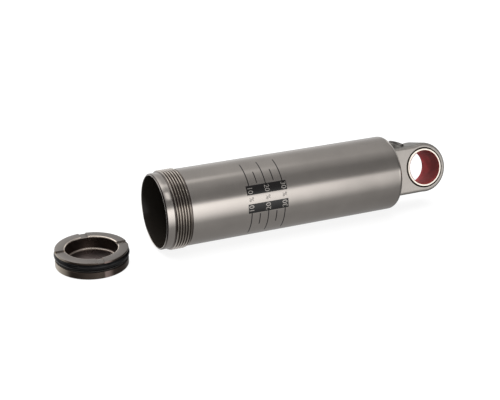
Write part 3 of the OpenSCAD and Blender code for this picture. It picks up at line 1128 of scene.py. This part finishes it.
def make_scale():
    """Two bars with ticks, figures on the bars, and a per cent sign between them at each step."""
    step_x = [SCALE_ZERO_X + SCALE_STEP * tens for tens in (1, 2, 3)]
    half_x = [(a + b) / 2 for a, b in zip(step_x, step_x[1:])]
    bar_up = (BAR_GAP + BAR_HEIGHT) / 2
    bar_edge = BAR_GAP / 2 + BAR_HEIGHT
    ink, figures = [], []
    for side in (1, -1):
        ink.append(patch(step_x[1], side * bar_up, BAR_LENGTH, BAR_HEIGHT))
        for x in step_x:
            ink.append(patch(x, side * (bar_edge + LONG_TICK / 2), TICK_WIDTH, LONG_TICK))
        for x in half_x:
            up = side * (bar_edge + SHORT_TICK_GAP + SHORT_TICK / 2)
            ink.append(patch(x, up, TICK_WIDTH, SHORT_TICK))
        for tens, x in enumerate(step_x, 1):
            figures.append(lettering(f"{tens}0", x, side * bar_up, -side, NUMERAL_HEIGHT))
    for x in step_x:
        ink.append(lettering("%", x, 0, -1, 0.9 * NUMERAL_HEIGHT, -0.003))
    print_on_tube("sag_scale_print", ink, PRINT_LIFT, INK, "cap_black")
    print_on_tube("sag_scale_figures", figures, 4 * PRINT_LIFT, PALE_INK, "tube_anodised")


make_scale()

# ---------------------------------------------------------------- finishes of the inner pieces

CAD_FINISHES = {
    RUBBER: ["eyelet_seal_ring", "valve_core_cup_seal", "valve_cap_o_ring"],
    BRASS: ["valve_core_nut", "valve_core_barrel", "valve_core_pin", "valve_core_cup"],
    GASKET: ["valve_core_gasket"],
}
for finish, names in CAD_FINISHES.items():
    for name in names:
        frame["nodes"][name].data.materials.clear()
        frame["nodes"][name].data.materials.append(finish)

# ---------------------------------------------------------------- bench and light


def make_floor():
    """A pale bench that shows to the camera only, and takes the soft shadow of the panel."""
    bpy.ops.object.select_all(action="DESELECT")
    bpy.ops.mesh.primitive_plane_add(size=8, location=(0, 0, (BENCH_Z - 0.01) * MM))
    floor = bpy.context.object
    floor.name = "bench"
    material, _, shader = new_material("bench_pale")
    shader.inputs["Base Color"].default_value = (0.2, 0.2, 0.2, 1)
    shader.inputs["Emission Color"].default_value = (1, 1, 1, 1)
    shader.inputs["Emission Strength"].default_value = 0.86
    shader.inputs["Roughness"].default_value = 0.9
    shader.inputs["Specular IOR Level"].default_value = 0
    floor.data.materials.append(material)
    floor.visible_glossy = False
    floor.visible_diffuse = False
    floor.visible_shadow = False


def make_light():
    """A studio seen by its directions: soft boxes before and behind, grey walls, pale floor."""
    world = bpy.data.worlds.new("studio")
    bpy.context.scene.world = world
    world.use_nodes = True
    tree = world.node_tree
    background = tree.nodes["Background"]
    direction = node(tree, "ShaderNodeTexCoord").outputs["Generated"]
    axes = node(tree, "ShaderNodeSeparateXYZ", {0: direction}).outputs
    towards_front = product(tree, axes["Y"], -1.0)
    round_x = node(
        tree, "ShaderNodeMath", {0: axes["Z"], 1: towards_front}, operation="ARCTAN2"
    ).outputs[0]

    def ramp(value, low, high, stops):
        """Brightness by a value, from (value, brightness) stops."""
        span = node(
            tree, "ShaderNodeMapRange", {"Value": value, "From Min": low, "From Max": high}
        ).outputs[0]
        made = node(tree, "ShaderNodeValToRGB", {"Fac": span})
        elements = made.color_ramp.elements
        while len(elements) < len(stops):
            elements.new(1)
        for index, (at, bright) in enumerate(stops):
            elements[index].position = (at - low) / (high - low)
            elements[index].color = (bright, bright, bright, 1)
        return made.outputs["Color"]

    def along_ramp(*stops):
        """Reach of a light by how far its direction turns from -X, at -1, to +X, at 1."""
        return ramp(axes["X"], -1, 1, stops)

    def round_ramp(*stops):
        """Brightness by the angle round X: 0 is level in front, 90 overhead, 180 behind."""
        turns = [(math.radians(at), bright) for at, bright in stops]
        return ramp(round_x, -math.pi, math.pi, turns)

    walls = round_ramp(
        (-180, 0.85), (-170, 0.50), (-130, 0.40), (-105, 0.38), (-60, 0.38), (-35, 0.42),
        (30, 0.36), (48, 0.30), (64, 0.30), (84, 0.50), (96, 0.62), (145, 0.57), (162, 0.66),
        (180, 0.85))
    white_floor = round_ramp((-180, 1), (-115, 1), (-95, 0), (165, 0), (180, 1))
    soft_box = round_ramp(
        (-180, 0), (-32, 0), (-21, 0.25), (-9, 0.62), (3, 0.88), (12, 1.0), (21, 1.0), (27, 0.25),
        (32, 0), (180, 0))
    back_box = round_ramp((-180, 0), (128, 0), (140, 1.0), (152, 1.0), (166, 0), (180, 0))
    strip = round_ramp((-180, 0), (90, 0), (97, 1.0), (103, 1.0), (108, 0), (180, 0))
    window = round_ramp((-180, 0), (78, 0), (94, 1), (150, 1), (166, 0), (180, 0))
    lamp = round_ramp((-180, 0), (50, 0), (56, 1), (72, 1), (78, 0), (180, 0))
    wall_reach = along_ramp(
        (-1, 0.2), (-0.7, 0.3), (-0.35, 1), (0.43, 1), (0.48, 0.88), (0.75, 0.6), (1, 0.5))
    floor_reach = along_ramp((-1, 1), (-0.25, 1), (0.1, 0), (1, 0))
    box_reach = along_ramp(
        (-1, 0.3), (-0.8, 0.8), (-0.64, 0.8), (-0.5, 0.2), (0.0, 1.0), (0.34, 1.0), (0.41, 0.84),
        (0.465, 0.44), (0.54, 0.44), (0.66, 0.9), (0.8, 0.8), (1, 0.3))
    back_reach = along_ramp((-1, 0.5), (-0.7, 1), (-0.6, 0), (0.56, 0), (0.64, 1), (1, 0.5))
    strip_reach = along_ramp((-1, 0), (-0.1, 0), (0.2, 1), (0.33, 1), (0.42, 0), (1, 0))
    window_reach = along_ramp((-1, 0), (-0.72, 0), (-0.55, 1), (0.05, 1), (0.24, 0), (1, 0))
    lamp_reach = along_ramp((-1, 0), (0.10, 0), (0.16, 1), (0.26, 1), (0.30, 0), (1, 0))

    total = 0.0
    lights = (
        (walls, wall_reach, 1.0), (white_floor, floor_reach, 0.4), (soft_box, box_reach, 1.65),
        (strip, strip_reach, 0.45), (window, window_reach, 1.2), (lamp, lamp_reach, 1.2),
        (back_box, back_reach, 1.2),
    )
    for light, reach, strength in lights:
        total = summed(tree, total, product(tree, light, reach), strength)
    seen = node(tree, "ShaderNodeLightPath").outputs["Is Camera Ray"]
    tree.links.new(mixed(tree, seen, total, (1, 1, 1, 1)), background.inputs["Color"])

    panel = bpy.data.lights.new("bench_panel", "AREA")
    panel.size = 1.6
    panel.energy = 18
    overhead = bpy.data.objects.new("bench_panel", panel)
    bpy.context.scene.collection.objects.link(overhead)
    overhead.location = (-0.05, 0, 1.2)
    overhead.visible_glossy = False
    overhead.visible_camera = False


make_floor()
make_light()
